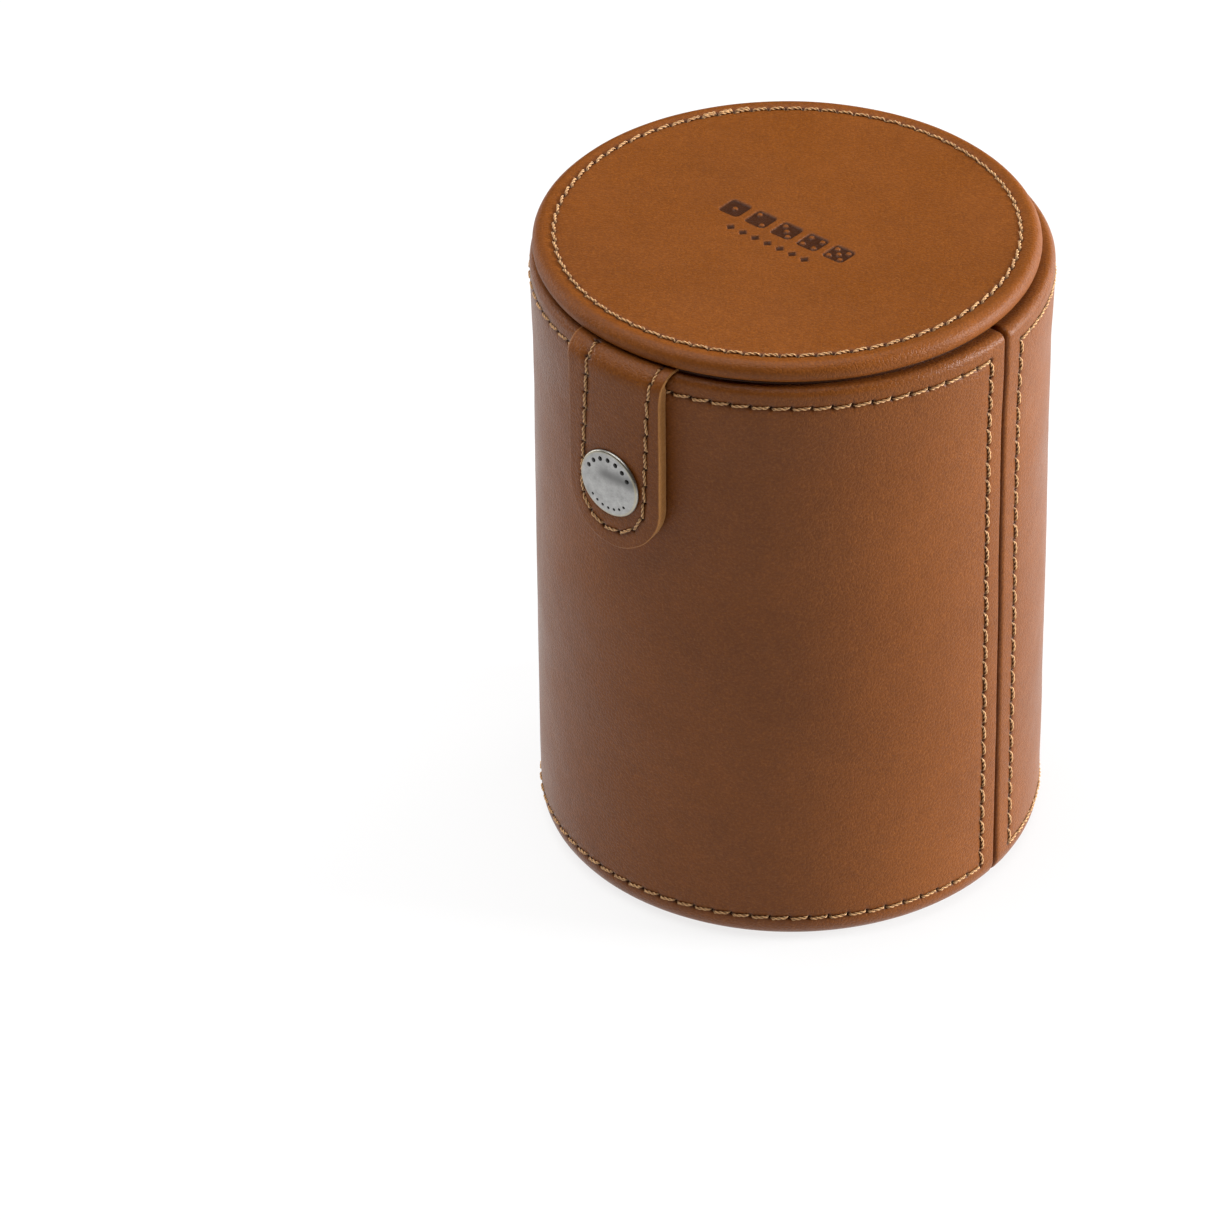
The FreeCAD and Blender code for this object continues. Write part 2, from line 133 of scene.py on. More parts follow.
def grid_faces(rows, columns, wrap_rows=False, wrap_columns=False, start=0):
    """Quads between neighbouring points of a grid stored row by row."""
    r = np.arange(rows if wrap_rows else rows - 1)
    c = np.arange(columns if wrap_columns else columns - 1)
    r0, c0 = np.meshgrid(r, c, indexing="ij")
    r1, c1 = (r0 + 1) % rows, (c0 + 1) % columns
    corners = [r0 * columns + c0, r0 * columns + c1, r1 * columns + c1, r1 * columns + c0]
    return np.stack([q.ravel() + start for q in corners], -1).tolist()


def arc_points(centre, radius, start, end, count):
    """Points of an arc in the plane, from one angle to another in degrees, both ends included."""
    angles = np.radians(np.linspace(start, end, count))
    return [(centre[0] + radius * cos(a), centre[1] + radius * sin(a)) for a in angles]


def path_normals(path):
    """The unit normal to the right of a plane path at each of its points."""
    path = np.asarray(path, float)
    steps = np.gradient(path, axis=0)
    steps /= np.linalg.norm(steps, axis=1)[:, None]
    return np.stack([steps[:, 1], -steps[:, 0]], -1)


def finish_piece(piece, body, material, nodes=()):
    piece.data.materials.append(material)
    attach(piece, body)
    if nodes:
        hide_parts(*nodes)


# ---- materials ----

class Shader:
    """A material's node tree, built with short calls."""

    def __init__(self, name):
        self.material = bpy.data.materials.new(name)
        self.material.use_nodes = True
        self.tree = self.material.node_tree
        self.bsdf = self.tree.nodes["Principled BSDF"]
        self.place = self.node("TexCoord").outputs["Object"]

    def node(self, kind, inputs=None, **settings):
        made = self.tree.nodes.new("ShaderNode" + kind)
        for key, setting in settings.items():
            setattr(made, key, setting)
        for key, source in (inputs or {}).items():
            self.join(source, made.inputs[key])
        return made

    def join(self, source, socket):
        if isinstance(source, bpy.types.NodeSocket):
            self.tree.links.new(source, socket)
        else:
            socket.default_value = source

    def stretched(self, scale):
        """The place, scaled a different amount along each axis."""
        return self.node("Mapping", {"Vector": self.place, "Scale": scale}).outputs["Vector"]

    def noise(self, scale, detail=3.0, roughness=0.55, place=None):
        made = self.node("TexNoise", {
            "Vector": place or self.place, "Scale": scale, "Detail": detail, "Roughness": roughness})
        return made.outputs["Fac"]

    def cells(self, scale, feature="F1"):
        made = self.node("TexVoronoi", {"Vector": self.place, "Scale": scale}, feature=feature)
        return made.outputs["Distance"]

    def fit(self, source, low, high, to_low=0.0, to_high=1.0):
        made = self.node("MapRange", {
            "Value": source, "From Min": low, "From Max": high, "To Min": to_low, "To Max": to_high})
        made.clamp = True
        return made.outputs["Result"]

    def times(self, a, b):
        return self.node("Math", {0: a, 1: b}, operation="MULTIPLY").outputs[0]

    def plus(self, a, b):
        return self.node("Math", {0: a, 1: b}, operation="ADD").outputs[0]

    def mix(self, factor, a, b):
        made = self.node("Mix", data_type="RGBA")
        for key, source in (("Factor_Float", factor), ("A_Color", a), ("B_Color", b)):
            socket = next(s for s in made.inputs if s.identifier == key)
            self.join(source, socket)
        return next(s for s in made.outputs if s.identifier == "Result_Color")

    def attribute(self, name):
        return self.node("Attribute", attribute_name=name).outputs["Fac"]

    def bump(self, height, strength, distance, normal=None):
        inputs = {"Height": height, "Strength": strength, "Distance": distance}
        if normal:
            inputs["Normal"] = normal
        return self.node("Bump", inputs).outputs["Normal"]

    def set(self, **sockets):
        for key, source in sockets.items():
            self.join(source, self.bsdf.inputs[key.replace("_", " ")])


def rgb(red, green, blue):
    return (red, green, blue, 1.0)


def leather_material(name, dark, light, tan, rough, sheen):
    """Smooth oiled leather: mottled tone, fine grain, painted shade in stitch holes and grooves, a
    darker stamped mark, lighter cut edges.
    """
    s = Shader(name)
    deep = rgb(*[0.30 * part for part in dark[:3]])
    clouds = s.fit(s.noise(28, 4, 0.6), 0.3, 0.7)
    colour = s.mix(clouds, dark, light)
    flecks = s.fit(s.noise(330, 3, 0.65), 0.38, 0.72)
    colour = s.mix(s.times(flecks, 0.13), colour, deep)
    specks = s.fit(s.noise(2100, 3, 0.75), 0.30, 0.70)
    colour = s.mix(s.fit(specks, 0.0, 1.0, 0.0, 0.32), colour, deep)
    colour = s.mix(s.fit(specks, 0.5, 0.0, 0.0, 0.14), colour, rgb(0.42, 0.17, 0.035))
    pores = s.fit(s.cells(1900), 0.0, 0.30)
    colour = s.mix(s.fit(pores, 0.0, 1.0, 0.30, 0.0), colour, deep)
    # Painted shade: near-black in stitch holes and grooves and round the rim under the lid's roll;
    # the lid's stamped mark is darkened the same way.
    pressed_and_shade = s.attribute("pressed_and_shade")
    colour = s.mix(s.times(pressed_and_shade, 0.88), colour, rgb(0.030, 0.0085, 0.003))
    fibres = s.fit(s.noise(900, 3, 0.7, s.stretched((1.0, 1.0, 3.0))), 0.25, 0.75)
    edge_colour = s.mix(fibres, tan, s.mix(0.4, tan, dark))
    colour = s.mix(s.attribute("cut"), colour, edge_colour)
    roughness = s.fit(s.noise(60, 3), 0.3, 0.7, rough - 0.05, rough + 0.06)
    roughness = s.plus(roughness, s.times(s.attribute("cut"), 0.3))
    grain = s.plus(s.times(s.fit(s.cells(1300, "DISTANCE_TO_EDGE"), 0.0, 0.16), 0.6),
                   s.times(s.noise(3000, 2), 0.6))
    normal = s.bump(s.noise(420, 3), 0.14, 0.0004)
    normal = s.bump(grain, 0.42, 0.00014, normal)
    s.set(Base_Color=colour, Roughness=roughness, Normal=normal, Specular_IOR_Level=0.20, IOR=1.45,
          Sheen_Weight=sheen, Sheen_Roughness=0.26)
    return s.material


def thread_material():
    s = Shader("waxed_thread")
    strand = s.fit(s.noise(1900, 3, 0.6), 0.3, 0.7)
    colour = s.mix(strand, rgb(0.44, 0.215, 0.080), rgb(0.82, 0.475, 0.20))
    # Painted shade where the thread dives into its holes and between its two plies.
    colour = s.mix(s.times(s.attribute("pressed_and_shade"), 0.85), colour, rgb(0.050, 0.018, 0.006))
    normal = s.bump(s.noise(5200, 2), 0.5, 0.00008)
    s.set(Base_Color=colour, Roughness=0.62, Normal=normal, Sheen_Weight=0.15, Sheen_Roughness=0.4)
    return s.material


def suede_material():
    s = Shader("suede")
    nap = s.fit(s.noise(45, 5, 0.65), 0.3, 0.7)
    fuzz = s.fit(s.noise(2600, 4, 0.75), 0.25, 0.75)
    colour = s.mix(nap, rgb(0.085, 0.044, 0.024), rgb(0.15, 0.085, 0.05))
    colour = s.mix(s.times(fuzz, 0.35), colour, rgb(0.22, 0.13, 0.08))
    normal = s.bump(s.noise(2400, 4, 0.8), 0.7, 0.0003)
    s.set(Base_Color=colour, Roughness=0.95, Normal=normal, Sheen_Weight=0.5, Sheen_Roughness=0.5,
          Sheen_Tint=rgb(0.9, 0.7, 0.55), IOR=1.3)
    return s.material


def board_material():
    s = Shader("paperboard")
    fibres = s.fit(s.noise(700, 4, 0.7, s.stretched((1.0, 1.0, 0.25))), 0.3, 0.7)
    colour = s.mix(fibres, rgb(0.030, 0.020, 0.014), rgb(0.055, 0.040, 0.028))
    s.set(Base_Color=colour, Roughness=0.9, Normal=s.bump(fibres, 0.3, 0.0002))
    return s.material


def foam_material():
    s = Shader("foam")
    bubbles = s.fit(s.cells(1400), 0.0, 0.5)
    colour = s.mix(bubbles, rgb(0.02, 0.02, 0.022), rgb(0.07, 0.07, 0.072))
    s.set(Base_Color=colour, Roughness=0.9, Normal=s.bump(bubbles, 0.5, 0.0003))
    return s.material


def metal_material(name, dark, light, rough):
    """Tumbled plated metal, with fine scratches, dark clouds at random, a painted dark reflection,
    worn edges and dark stamped marks.
    """
    s = Shader(name)
    clouds = s.fit(s.noise(520, 4, 0.65), 0.3, 0.7)
    grit = s.fit(s.noise(4200, 3, 0.7), 0.3, 0.7)
    colour = s.mix(s.fit(clouds, 0.0, 1.0, 0.45, 1.0), dark, light)
    colour = s.mix(s.times(grit, 0.30), colour, dark)
    # Painted reflection: the dark band on the cap's face.
    colour = s.mix(s.attribute("painted_reflection"), colour, dark)
    colour = s.mix(s.times(s.attribute("worn"), 0.6), colour, rgb(0.44, 0.38, 0.23))
    colour = s.mix(s.attribute("pressed_and_shade"), colour, rgb(0.015, 0.014, 0.013))
    roughness = s.fit(s.noise(1500, 3), 0.3, 0.7, rough - 0.07, rough + 0.10)
    normal = s.bump(s.noise(6000, 2, 0.6, s.stretched((1.0, 1.0, 0.3))), 0.25, 0.00006)
    s.set(Base_Color=colour, Metallic=1.0, Roughness=roughness, Normal=normal)
    return s.material


LEATHER_DARK = rgb(0.186, 0.0530, 0.0080)
LEATHER_LIGHT = rgb(0.232, 0.0680, 0.0105)
LEATHER_TAN = rgb(0.50, 0.235, 0.072)
LID_DARK = rgb(0.196, 0.0540, 0.0060)
LID_LIGHT = rgb(0.246, 0.0690, 0.0080)
leather = leather_material("leather", LEATHER_DARK, LEATHER_LIGHT, LEATHER_TAN, 0.38, 0.11)
lid_leather = leather_material("lid_leather", LID_DARK, LID_LIGHT, LEATHER_TAN, 0.46, 0.0)
thread = thread_material()
suede = suede_material()
board = board_material()
foam = foam_material()
nickel = metal_material("antique_nickel", rgb(0.17, 0.168, 0.164), rgb(0.48, 0.476, 0.465), 0.36)
brass = metal_material("spring_brass", rgb(0.35, 0.24, 0.09), rgb(0.62, 0.46, 0.20), 0.30)


# ---- camera, floor and light ----

CAMERA_AZIMUTH = 39.6
CAMERA_ELEVATION = 34.209


def direction_at(azimuth, elevation):
    """The direction at these angles in degrees: round from the tab, and up."""
    a, e = radians(azimuth), radians(elevation)
    return Vector((sin(a) * cos(e), -cos(a) * cos(e), sin(e)))


def make_camera():
    """A long lens at the front right, looking down, with the cup right of the middle."""
    distance, aim = 1.201173, Vector((0, 0, 0.060))
    pan, tilt, roll = 0.032, -0.014, 0.014
    back = direction_at(CAMERA_AZIMUTH, CAMERA_ELEVATION)
    forward, up = -back, Vector((0, 0, 1))
    right = forward.cross(up).normalized()
    up = right.cross(forward)
    turn = Matrix.Rotation(pan, 3, "Z")
    forward, right, up = turn @ forward, turn @ right, turn @ up
    turn = Matrix.Rotation(tilt, 3, right)
    forward, up = turn @ forward, turn @ up
    turn = Matrix.Rotation(roll, 3, forward)
    right, up = turn @ right, turn @ up
    data = bpy.data.cameras.new("camera")
    data.lens, data.sensor_width = 203.34, 36.0
    data.clip_end = 50
    camera = bpy.data.objects.new("camera", data)
    bpy.context.scene.collection.objects.link(camera)
    rotation = Matrix((right, up, -forward)).transposed().to_4x4()
    camera.matrix_world = Matrix.Translation(aim + back * distance) @ rotation
    bpy.context.scene.camera = camera


def make_floor():
    """A pale disc that glows a little, so that it and the background look like one."""
    s = Shader("pale_floor")
    shade = s.fit(s.noise(3, 2), 0.3, 0.7)
    s.set(Base_Color=s.mix(shade, rgb(0.18, 0.18, 0.18), rgb(0.20, 0.20, 0.20)), Roughness=0.85,
          Specular_IOR_Level=0.0, Emission_Color=rgb(1, 1, 1), Emission_Strength=0.80)
    radius, sides = 1.15, 96
    edge = [(x, y, 0) for x, y in arc_points((0, 0), radius, 0, 360, sides + 1)[:-1]]
    floor = mesh_piece("floor", edge, [range(sides)])
    floor.data.materials.append(s.material)


def area_light(name, azimuth, elevation, distance, width, height, power):
    """A softbox that faces the cup. Its azimuth is counted from the camera's, in degrees."""
    place = direction_at(CAMERA_AZIMUTH + azimuth, elevation) * distance
    data = bpy.data.lights.new(name, "AREA")
    data.shape = "RECTANGLE"
    data.size, data.size_y = width, height
    data.energy = power
    light = bpy.data.objects.new(name, data)
    bpy.context.scene.collection.objects.link(light)
    light.location = place + Vector((0, 0, 0.06))
    light.rotation_euler = place.to_track_quat("Z", "Y").to_euler()


def make_lights():
    """Four softboxes, and a white world that only the camera sees."""
    area_light("overhead", -110, 80, 1.6, 1.8, 1.8, 36)
    area_light("right_softbox", 89, 11, 1.2, 0.50, 0.60, 28)
    area_light("right_rim", 133, 12, 1.2, 0.50, 0.60, 4.5)
    area_light("left_softbox", -122, 12, 1.2, 0.50, 0.60, 4.3)
    world = bpy.data.worlds.new("studio")
    world.use_nodes = True
    background = world.node_tree.nodes["Background"]
    background.inputs["Color"].default_value = rgb(1, 1, 1)
    background.inputs["Strength"].default_value = 1.0
    world.cycles_visibility.diffuse = False
    world.cycles_visibility.glossy = False
    bpy.context.scene.world = world
    bpy.context.scene.view_settings.view_transform = "Standard"


# ---- sewing ----

STITCH_PITCH = 3.4 * MM
SLANT = 0.20 * MM
# The slits lean about 22 degrees off square to the line: the cosine and the sine of that.
SLIT_COS, SLIT_SIN = 0.93, 0.37
# Where a mesh has points beside each hole, and at which parts of the way to the next hole.
HOLE_SIDES = (-0.32 * MM, -0.15 * MM, 0.0, 0.15 * MM, 0.32 * MM)
BETWEEN_HOLES = (0.22, 0.5, 0.78)


def hole_columns(count, pitch):
    """Distances along a line of holes where a mesh needs points: at each hole and between."""
    places = []
    for hole in range(count + 1):
        places += [hole * pitch + side for side in HOLE_SIDES]
        if hole < count:
            places += [(hole + part) * pitch for part in BETWEEN_HOLES]
    return places


def sewing_dent(across, along, length, pitch):
    """How far sewing pulls leather in, near a line of slanted holes, and how much shade is painted
    there.
    """
    past_end = np.maximum(np.maximum(-along, along - length), 0.0)
    distance = np.hypot(across, past_end)
    nearest = np.clip(np.round(along / pitch), 0, round(length / pitch)) * pitch
    offset = along - nearest
    down_slit = SLIT_COS * across - SLIT_SIN * offset
    over_slit = SLIT_COS * offset + SLIT_SIN * across

    def near_slit(width, reach):
        return np.exp(-(over_slit / width) ** 2 - (down_slit / reach) ** 2)

    groove = np.exp(-(distance / (0.42 * MM)) ** 2)
    pull = np.exp(-(distance / (1.1 * MM)) ** 2) * (0.75 + 0.25 * np.cos(2 * pi * along / pitch))
    dent = (0.62 * near_slit(0.17 * MM, 0.34 * MM) + 0.15 * groove + 0.05 * pull) * MM
    # The second value is painted shade, darkest in each slit and along the groove.
    return dent, np.clip(1.15 * near_slit(0.33 * MM, 0.42 * MM) + 0.55 * groove, 0, 1)


PLY_R = 0.148 * MM
PLY_OFFSET = 0.125 * MM
PLY_SIDES = 6
PLY_RINGS = 17
TWIST_PITCH = 1.9 * MM
HOLE_DEPTH = 0.50 * MM


def ply_rings(t, ramp, sideways, height, length, twist):
    """One ply's rings in its stitch's own directions: along it, across it and out of the leather."""
    sides = np.arange(PLY_SIDES) * 2 * pi / PLY_SIDES
    centre_y = sideways + PLY_OFFSET * np.cos(twist) * (0.4 + 0.6 * ramp)
    centre_z = height + PLY_OFFSET * np.sin(twist) * (0.4 + 0.6 * ramp)
    y = centre_y[:, None] + PLY_R * np.cos(sides)[None]
    z = centre_z[:, None] + PLY_R * np.sin(sides)[None]
    x = (t * length)[:, None] + 0 * y
    # Painted shade: dark where the ply dives into its hole, and on its side that faces the other ply.
    facing_in = 0.5 - 0.5 * np.cos(sides[None] - twist[:, None])
    return x, y, z, np.maximum(1 - ramp[:, None], facing_in ** 2)


def sewn_thread(name, stitches, seed):
    """Each stitch is (from, to, outward, bow): two plies twisted together that dive into a hole at
    each end. The bow is how far the stitch's middle lies to its side."""
    rng = np.random.default_rng(seed)
    vertices, faces, dark = [], [], []
    t = np.linspace(0, 1, PLY_RINGS)
    ramp = smooth(np.minimum(t, 1 - t) / 0.16)
    for start, end, outward, bow in stitches:
        start, end, outward = (np.asarray(v, float) for v in (start, end, outward))
        along = end - start
        length = np.linalg.norm(along)
        along /= length
        across = np.cross(outward, along)
        lift = rng.uniform(0.05, 0.12) * MM
        height = -HOLE_DEPTH + (HOLE_DEPTH + lift) * ramp + 0.07 * MM * np.sin(pi * t)
        hook = 0.10 * MM * smooth((t - 0.72) / 0.28)
        sideways = (SLANT + rng.uniform(-0.04, 0.04) * MM) * (2 * t - 1) + hook
        sideways += bow * np.sin(pi * t)
        phase = rng.uniform(0, 2 * pi)
        for ply in range(2):
            twist = phase + ply * pi + 2 * pi * length / TWIST_PITCH * t
            x, y, z, shade = ply_rings(t, ramp, sideways, height, length, twist)
            ring = start + x[..., None] * along + y[..., None] * across + z[..., None] * outward
            first = len(vertices) * PLY_RINGS * PLY_SIDES
            vertices.append(ring.reshape(-1, 3))
            dark.append(shade.ravel())
            faces += grid_faces(PLY_RINGS, PLY_SIDES, wrap_columns=True, start=first)
            faces.append([first + k for k in range(PLY_SIDES)][::-1])
            faces.append([first + (PLY_RINGS - 1) * PLY_SIDES + k for k in range(PLY_SIDES)])
    return mesh_piece(name, np.concatenate(vertices), faces, {"pressed_and_shade": np.concatenate(dark)})


# ---- the cup's wall ----

FRONT_SPAN = 186.7
SEAM_HALF_GAP = 0.42 * MM
BASE_TALL = 4.5 * MM
UPRIGHT_BOW = -0.27 * MM
# Millimetres past the last stitch where a panel has points, towards its seam.
BESIDE_LINE = (0.60, 1.0, 1.7, 2.6, 3.6)
# How far the wall stands out at some heights: stiff at the rim, drawn in a little below it.
STAND_OUT = ((0, 0), (46, 0), (60, -0.05), (75, -0.18), (98, -0.18), (107, 0.12), (113, 0.18))


def wall_radius(z):
    heights, amounts = np.array(STAND_OUT, float).T * MM
    return CUP_R + np.interp(z, heights, amounts)


def drift(z):
    """The seam isn't quite upright: how far round the wall it has moved at each height."""
    return 0.36 * MM * (1 - 2 * z / CUP_TOP)


def round_cup(radius, angle, z):
    """Points at an angle round the cup, counted from the tab."""
    return np.stack([radius * np.sin(angle), -radius * np.cos(angle), z], -1)


def panel_back():
    """A panel's inner profile, along the board tube, from under the base up into the mouth."""
    inside = WALL_INSIDE - TUBE_INSIDE
    turned_under = [(MOUTH_R, TURNED), (TUBE_INSIDE - 0.02 * MM, TURNED)]
    base_turn = arc_points((TUBE_INSIDE, tube_low.z + inside), inside, -90, 0, 6)
    under_rim = CUP_TOP - TURNED
    turned_in = [(WALL_INSIDE, under_rim), (TUBE_INSIDE, under_rim), (TUBE_INSIDE, RETURN_Z)]
    return np.array(turned_under + base_turn + turned_in)


@dataclass
class WallPanel:
    """One of the two leather panels. Distances along it are on the wall, from its middle."""

    name: str
    span: float  # in degrees
    middle: float  # in degrees round from the tab
    seam_inset: float
    seam_round: float
    seed: int

    def __post_init__(self):
        self.half = CUP_R * radians(self.span) / 2
        self.stitched = 2 * (self.half - self.seam_inset)
        self.count = round(self.stitched / STITCH_PITCH)
        self.pitch = self.stitched / self.count
        self.tall = STITCH_HIGH - STITCH_LOW
        self.upright_count = round(self.tall / STITCH_PITCH)
        self.upright_pitch = self.tall / self.upright_count

    def around(self, distance, z):
        """The angle from the front at a distance along the wall, with the seam's drift."""
        sway = np.clip(distance / self.half, -1, 1) ** 3 * (1 if self.middle == 0 else -1)
        return radians(self.middle) + (distance + sway * drift(z)) / CUP_R

    def columns(self):
        """Distances along the wall where it has points, and how far its face is rounded off there."""
        edge = self.half - SEAM_HALF_GAP
        turn = np.radians(np.linspace(90, 0, 7))
        ends = edge - self.seam_round + self.seam_round * np.sin(turn)
        depths = self.seam_round * (1 - np.cos(turn))
        near_end = self.stitched / 2 + np.array(BESIDE_LINE[::-1]) * MM
        near_end = near_end[near_end < edge - self.seam_round - 0.2 * MM]
        inner = [d - self.stitched / 2 for d in hole_columns(self.count, self.pitch)]
        distances = np.concatenate([-ends, -near_end, inner, near_end[::-1], ends[::-1]])
        flat = np.zeros(len(inner) + 2 * len(near_end))
        return distances, np.concatenate([depths, flat, depths[::-1]])

    def face(self):
        """The panel's outer profile as (radius, height), from inside the mouth to under the base."""
        lip, rim_round = 1.0 * MM, 1.55 * MM
        rows = [(MOUTH_R, z) for z in np.linspace(RETURN_Z, CUP_TOP - lip, 6)[:-1]]
        rows += arc_points((MOUTH_R + lip, CUP_TOP - lip), lip, 180, 90, 6)
        rows += [(r, CUP_TOP) for r in np.linspace(MOUTH_R + lip, CUP_R - rim_round, 5)[1:-1]]
        rows += arc_points((CUP_R - rim_round, CUP_TOP - rim_round), rim_round, 90, 0, 9)
        above = [STITCH_HIGH + gap * MM for gap in (1.1, 0.7)]
        sewn = [STITCH_LOW + d for d in hole_columns(self.upright_count, self.upright_pitch)]
        rows += [(CUP_R, z) for z in above + sewn[::-1]]
        corner_r = CUP_R - BASE_ROUND
        for angle in np.radians(np.linspace(0, -90, 14)):
            rows.append((corner_r + BASE_ROUND * cos(angle), BASE_TALL * (1 + sin(angle))))
        rows += [(r, 0.0) for r in np.linspace(corner_r, MOUTH_R, 3)[1:]]
        return np.array(rows)

    def sewn(self, along, z):
        """How far the stitches along all four sides pull the leather in, and the shade painted there.
        """
        end = self.stitched / 2
        lines = [sewing_dent(z - line, along + end, self.stitched, self.pitch)
                 for line in (STITCH_LOW, STITCH_HIGH)]
        lines += [sewing_dent(line - along, z - STITCH_LOW, self.tall, self.upright_pitch)
                  for line in (-end, end)]
        return np.max([line[0] for line in lines], 0), np.max([line[1] for line in lines], 0)

    def skin(self):
        """Rows of points round the panel's section, its face and then its back, and the shade
        painted at each, in the stitch holes and grooves."""
        distances, rounded = self.columns()
        face = self.face()
        normals = -path_normals(face)
        z = np.repeat(face[:, 1][:, None], len(distances), 1)
        angle = self.around(distances[None], z)
        on_wall = (np.abs(face[:, 0] - CUP_R) < 0.3 * MM)[:, None]
        dent, dark = (amount * on_wall for amount in self.sewn(distances[None] + 0 * z, z))
        outside = face[:, 0] > CUP_R - 1.6 * MM
        bare = face[:, 0] + (wall_radius(face[:, 1]) - CUP_R) * outside
        radius = np.repeat(bare[:, None], len(distances), 1)
        flat = round_cup(radius, angle, z)
        puff = ripple(flat, 24 * MM, self.seed) * 0.05 + ripple(flat, 7 * MM, self.seed + 1) * 0.016
        puff = puff * MM * (outside[:, None] * (z > 1.0 * MM))
        inward = rounded[None] + dent - np.minimum(puff, 0.05 * MM)
        front = round_cup(radius - normals[:, 0][:, None] * inward, angle,
                          z - normals[:, 1][:, None] * inward)
        back = panel_back()
        back_z = np.repeat(back[:, 1][:, None], len(distances), 1)
        rear = round_cup(back[:, 0][:, None], self.around(distances[None], back_z), back_z)
        return np.concatenate([front, rear]), np.concatenate([dark, np.zeros(rear.shape[:2])])

    def hole(self, distance, height):
        radius = float(wall_radius(height)) - 0.12 * MM
        return round_cup(radius, float(self.around(distance, height)), height)

    def outward(self, distance):
        return round_cup(1.0, radians(self.middle) + distance / CUP_R, 0.0)

    def stitches(self):
        end = self.stitched / 2
        sewn = []
        for z in (STITCH_LOW, STITCH_HIGH):
            for k in range(self.count):
                d0, d1 = k * self.pitch - end, (k + 1) * self.pitch - end
                sewn.append((self.hole(d0, z), self.hole(d1, z), self.outward((d0 + d1) / 2), 0.0))
        for d in (-end, end):
            for k in range(self.upright_count):
                z = STITCH_LOW + k * self.upright_pitch
                sewn.append((self.hole(d, z), self.hole(d, z + self.upright_pitch), self.outward(d),
                             UPRIGHT_BOW))
        return sewn


def make_wall_panel(panel):
    """The panel's leather and its thread."""
    points, pressed_and_shade = panel.skin()
    rows, columns = points.shape[:2]
    faces = [face[::-1] for face in grid_faces(rows, columns, wrap_rows=True)]
    faces.append([r * columns for r in range(rows)][::-1])
    faces.append([r * columns + columns - 1 for r in range(rows)])
    piece = mesh_piece(panel.name, points.reshape(-1, 3), faces, {"pressed_and_shade": pressed_and_shade})
    finish_piece(piece, "cup", leather, [panel.name])
    thread_name = panel.name + "_thread"
    sewing = sewn_thread(thread_name, panel.stitches(), panel.seed)
    finish_piece(sewing, "cup", thread, [thread_name])


# ---- turned pieces ----

def lathe(name, profile, columns=160, centre_y=0.0, wave=0.0, seed=0, dark_beyond=None):
    """A closed piece turned about a vertical axis. The profile runs from axis to axis, or is a loop.
    Wave is how uneven the surface is. Past the radius dark_beyond the piece is painted dark, as
    shade."""
    profile = np.array(profile, float)
    angle = np.arange(columns) * 2 * pi / columns
    on_axis = profile[:, 0] < 1e-9
    rings = profile[~on_axis]
    radius = rings[:, 0][:, None]
    points = round_cup(radius, angle, np.repeat(rings[:, 1][:, None], columns, 1))
    if wave:
        bump = ripple(points, 16 * MM, seed) * wave
        normals = path_normals(rings)
        points[..., 2] += bump * normals[:, 1][:, None]
        points[..., :2] *= (1 + bump * normals[:, 0][:, None] / radius)[..., None]
    points[..., 1] += centre_y
    faces = grid_faces(len(rings), columns, wrap_rows=not on_axis.any(), wrap_columns=True)
    vertices = points.reshape(-1, 3)
    if on_axis.any():
        ends = [(0, centre_y, profile[0, 1]), (0, centre_y, profile[-1, 1])]
        first, last = len(vertices), len(vertices) + 1
        vertices = np.concatenate([vertices, ends])
        tail = (len(rings) - 1) * columns
        for c in range(columns):
            following = (c + 1) % columns
            faces.append((first, following, c))
            faces.append((last, tail + c, tail + following))
    dark = np.zeros(len(vertices))
    if dark_beyond:
        out = np.hypot(vertices[:, 0], vertices[:, 1] - centre_y)
        dark = smooth((out - dark_beyond) / (0.2 * MM))
    return mesh_piece(name, vertices, faces, {"pressed_and_shade": dark})


def rounded_disc(radius, low, high, edge):
    """A disc's profile from the axis at the bottom to the axis at the top, with rounded edges."""
    spread = np.linspace(radius / 14, radius - edge, 14)[:-1]
    profile = [(0.0, low)] + [(r, low) for r in spread]
    profile += arc_points((radius - edge, low + edge), edge, -90, 0, 5)
    profile += arc_points((radius - edge, high - edge), edge, 0, 90, 5)
    return profile + [(r, high) for r in spread[::-1]] + [(0.0, high)]


def make_turned(name, profile, body, slot, material, **shape):
    piece = lathe(name, profile, **shape)
    finish_piece(piece, body, material, [name])
    return piece


def make_linings():
    """The padded floor, the disc under the base and the sleeve inside the wall."""
    clear = 0.05 * MM
    radius = MOUTH_R - clear
    low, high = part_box("floor_pad")
    pad = make_turned("floor_pad", rounded_disc(radius, low.z, high.z, 0.4 * MM), "cup", "foam", foam)
    low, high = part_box("floor_lining")
    make_turned("floor_lining", rounded_disc(radius, low.z, high.z, 0.35 * MM), "cup", "suede", suede,
                wave=0.05 * MM, seed=5)
    low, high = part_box("base_cover")
    make_turned("base_cover", rounded_disc(radius, low.z + 0.25 * MM, high.z, 0.3 * MM),
                "cup", "leather", leather)
    low, high = lining_low.z, lining_high.z
    edge = 0.3 * MM
    inner = MOUTH_R + 0.06 * MM
    sleeve = [(TUBE_INSIDE - clear, low), (TUBE_INSIDE - clear, high)]
    sleeve += arc_points((inner + edge, high - edge), edge, 90, 180, 6)
    sleeve += [(inner, z) for z in np.linspace(high - 1.5 * edge, low, 60)]
    make_turned("wall_lining", sleeve, "cup", "suede", suede, columns=300, wave=0.05 * MM, seed=9)


# ---- the lid ----

LID_STITCHES = 83
LID_LINE = 2 * pi * LID_STITCH_R
LID_PITCH = LID_LINE / LID_STITCHES
LOCKED_STITCHES = (32, 33, 34)
LID_ROLL = (LID_TOP - LID_UNDERSIDE) / 2
LID_ROLL_R = LID_R - LID_ROLL
